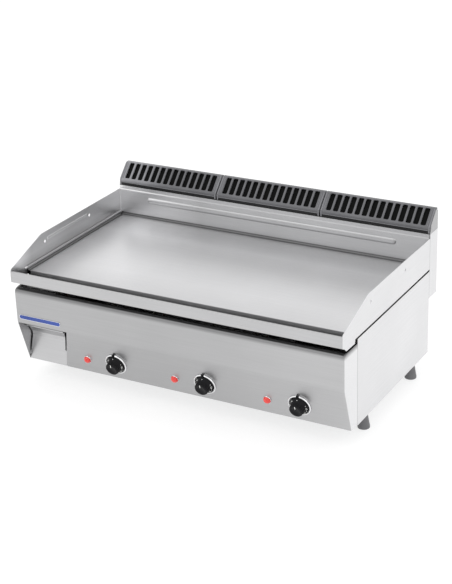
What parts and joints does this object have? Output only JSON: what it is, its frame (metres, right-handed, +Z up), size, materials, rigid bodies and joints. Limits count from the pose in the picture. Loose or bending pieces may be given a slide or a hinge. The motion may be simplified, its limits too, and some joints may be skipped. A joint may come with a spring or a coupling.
{
  "type": "countertop griddle",
  "caption": "Electric countertop griddle with a ground steel plate, splash guards, slotted flue grilles, turn knobs, pilot lamps, grease drawer and levelling feet.",
  "frame": {"origin": "on the worktop, under the middle of the griddle's outer box", "axes": "+X to the cook's right, along the width; +Y to the rear, towards the flue; +Z up; the controls face -Y"},
  "size_m": [0.9, 0.558, 0.421],
  "materials": {
    "stainless": "brushed stainless sheet",
    "ground_plate": "ground and polished steel",
    "galvanised": "dull galvanised steel",
    "dark_enamel": "dark grey enamel",
    "chrome": "polished",
    "black_plastic": "semi-gloss black",
    "red_lens": "red, moulded",
    "foot_plastic": "matt dark grey",
    "element_sheath": "heat-stained metal sheath",
    "copper": "bare copper",
    "fibre_board": "pressed mineral fibre",
    "pale_plastic": "off-white phenolic",
    "cable_grey": "grey polymer",
    "badge_blue": "plain blue, blank"
  },
  "bodies": {
    "casing": {"back_panel": "stainless", "badge": "badge_blue", "base_pan": "galvanised", "board_support_left": "galvanised", "board_support_right": "galvanised", "cable_gland": "cable_grey", "contactor": "black_plastic", "drain_pipe": "stainless", "drawer_runner_left": "galvanised", "drawer_runner_right": "galvanised", "flue_back": "stainless", "flue_end_left": "stainless", "flue_end_right": "stainless", "front_panel": "stainless", "front_trim": "stainless", "griddle_plate": "ground_plate", "grille_cap_left": "stainless", "grille_cap_right": "stainless", "heat_reflector": "galvanised", "heating_element_centre": "element_sheath", "heating_element_left": "element_sheath", "heating_element_right": "element_sheath", "insulation_board": "fibre_board", "knob_bezel_centre": "chrome", "knob_bezel_left": "chrome", "knob_bezel_right": "chrome", "pilot_lamp_centre": "red_lens", "pilot_lamp_left": "red_lens", "pilot_lamp_right": "red_lens", "rear_splash": "stainless", "safety_thermostat": "black_plastic", "side_ledge_left": "stainless", "side_ledge_right": "stainless", "side_panel_left": "stainless", "side_panel_right": "stainless", "splash_guard_left": "stainless", "splash_guard_right": "stainless", "terminal_block": "pale_plastic", "thermostat_bulb_centre": "copper", "thermostat_bulb_left": "copper", "thermostat_bulb_right": "copper", "thermostat_centre": "pale_plastic", "thermostat_left": "pale_plastic", "thermostat_right": "pale_plastic", "wiring_loom": "cable_grey"},
    "drawer": {"drawer_front": "stainless", "drawer_pan": "stainless"},
    "grille_centre": {"flue_grille_centre": "dark_enamel"},
    "grille_left": {"flue_grille_left": "dark_enamel"},
    "grille_right": {"flue_grille_right": "dark_enamel"},
    "foot_assembly_front_left": {"foot_front_left": "foot_plastic"},
    "foot_assembly_front_right": {"foot_front_right": "foot_plastic"},
    "foot_assembly_rear_left": {"foot_rear_left": "foot_plastic"},
    "foot_assembly_rear_right": {"foot_rear_right": "foot_plastic"},
    "knob_assembly_centre": {"knob_centre": "black_plastic", "thermostat_shaft_centre": "galvanised"},
    "knob_assembly_left": {"knob_left": "black_plastic", "thermostat_shaft_left": "galvanised"},
    "knob_assembly_right": {"knob_right": "black_plastic", "thermostat_shaft_right": "galvanised"}
  },
  "joints": [
    {"name": "knob_left_turn", "type": "hinge", "parent": "casing", "child": "knob_assembly_left", "pos_m": [-0.1745, -0.24795, 0.09758], "axis": [0, 0.9531, 0.3027], "range_deg": [0, 270]},
    {"name": "knob_centre_turn", "type": "hinge", "parent": "casing", "child": "knob_assembly_centre", "pos_m": [0.076, -0.24795, 0.09758], "axis": [0, 0.9531, 0.3027], "range_deg": [0, 270]},
    {"name": "knob_right_turn", "type": "hinge", "parent": "casing", "child": "knob_assembly_right", "pos_m": [0.3265, -0.24795, 0.09758], "axis": [0, 0.9531, 0.3027], "range_deg": [0, 270]},
    {"name": "grille_left_lift", "type": "slide", "parent": "casing", "child": "grille_left", "axis": [0, 0, 1], "range_m": [0, 0.06]},
    {"name": "grille_centre_lift", "type": "slide", "parent": "casing", "child": "grille_centre", "axis": [0, 0, 1], "range_m": [0, 0.06]},
    {"name": "grille_right_lift", "type": "slide", "parent": "casing", "child": "grille_right", "axis": [0, 0, 1], "range_m": [0, 0.06]},
    {"name": "drawer_pull", "type": "slide", "parent": "casing", "child": "drawer", "axis": [0, -1, 0], "range_m": [0, 0.33]},
    {"name": "foot_front_left_level", "type": "slide", "parent": "casing", "child": "foot_assembly_front_left", "axis": [0, 0, -1], "range_m": [0, 0.012]},
    {"name": "foot_front_right_level", "type": "slide", "parent": "casing", "child": "foot_assembly_front_right", "axis": [0, 0, -1], "range_m": [0, 0.012]},
    {"name": "foot_rear_left_level", "type": "slide", "parent": "casing", "child": "foot_assembly_rear_left", "axis": [0, 0, -1], "range_m": [0, 0.012]},
    {"name": "foot_rear_right_level", "type": "slide", "parent": "casing", "child": "foot_assembly_rear_right", "axis": [0, 0, -1], "range_m": [0, 0.012]}
  ]
}
